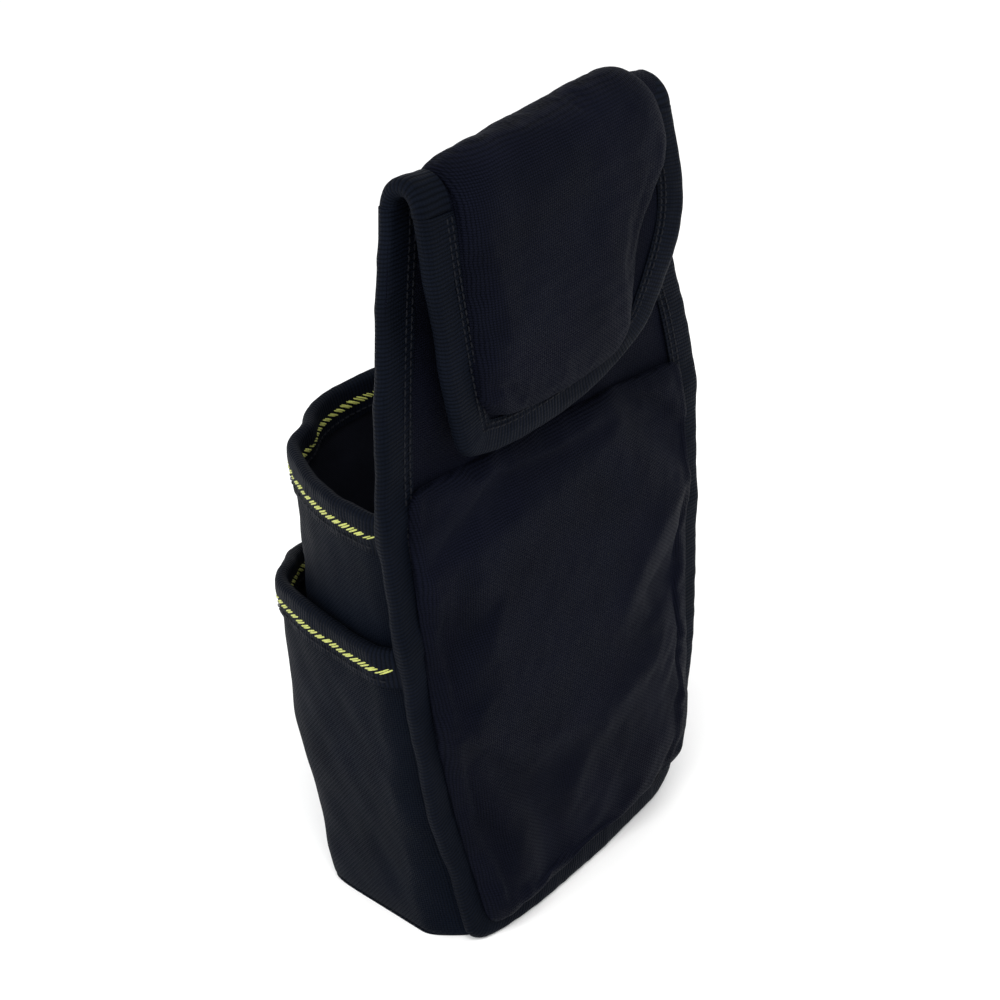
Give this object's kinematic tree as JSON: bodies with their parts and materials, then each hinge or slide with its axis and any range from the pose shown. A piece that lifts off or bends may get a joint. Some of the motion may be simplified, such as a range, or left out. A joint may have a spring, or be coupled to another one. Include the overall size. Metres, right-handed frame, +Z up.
{
  "type": "electrician tool pouch",
  "caption": "Open-topped belt pouch with one pocket nested in front of another, a padded back panel and a padded flap that folds over its top for a belt.",
  "frame": {"origin": "middle of the base's underside, on the plane it stands on", "axes": "+Z up the pouch, +Y out of the back panel towards the wearer, +X the other way across the pouch, along the ridge, so that X, Y and Z are right-handed"},
  "size_m": [0.156, 0.1259, 0.3],
  "materials": {
    "cover_fabric": "tightly woven dark navy-black polyester, matt",
    "lining": "coated dark woven lining, matt",
    "tape": "ribbed black binding tape, matt",
    "stripe": "yellow yarn woven in slanting floats",
    "foam": "soft closed-cell foam",
    "core_sheet": "thin flexible foam sheet",
    "board": "thin stiff plastic sheet",
    "loop": "soft brushed loop pile",
    "hook": "fine nylon hooks"
  },
  "bodies": {
    "pouch": {"base_panel": "cover_fabric", "base_board": "board", "base_lining": "lining", "back_lining": "lining", "back_core": "core_sheet", "back_pad": "foam", "back_cover": "cover_fabric", "back_binding": "tape", "loop_patch": "loop", "upper_wall_cover": "cover_fabric", "upper_wall_lining": "lining", "upper_rim_binding": "tape", "upper_rim_stripe_outer": "stripe", "upper_rim_stripe_inner": "stripe", "lower_wall_cover": "cover_fabric", "lower_wall_lining": "lining", "lower_rim_binding": "tape", "lower_rim_stripe_outer": "stripe", "lower_rim_stripe_inner": "stripe"},
    "flap": {"flap_cover": "cover_fabric", "flap_pad": "foam", "flap_core": "core_sheet", "flap_lining": "lining", "flap_binding": "tape", "hook_patch": "hook"}
  },
  "joints": [
    {"name": "flap_hinge", "type": "hinge", "parent": "pouch", "child": "flap", "pos_m": [0, 0.04185, 0.3], "axis": [1, 0, 0], "range_deg": [0, 150]}
  ]
}
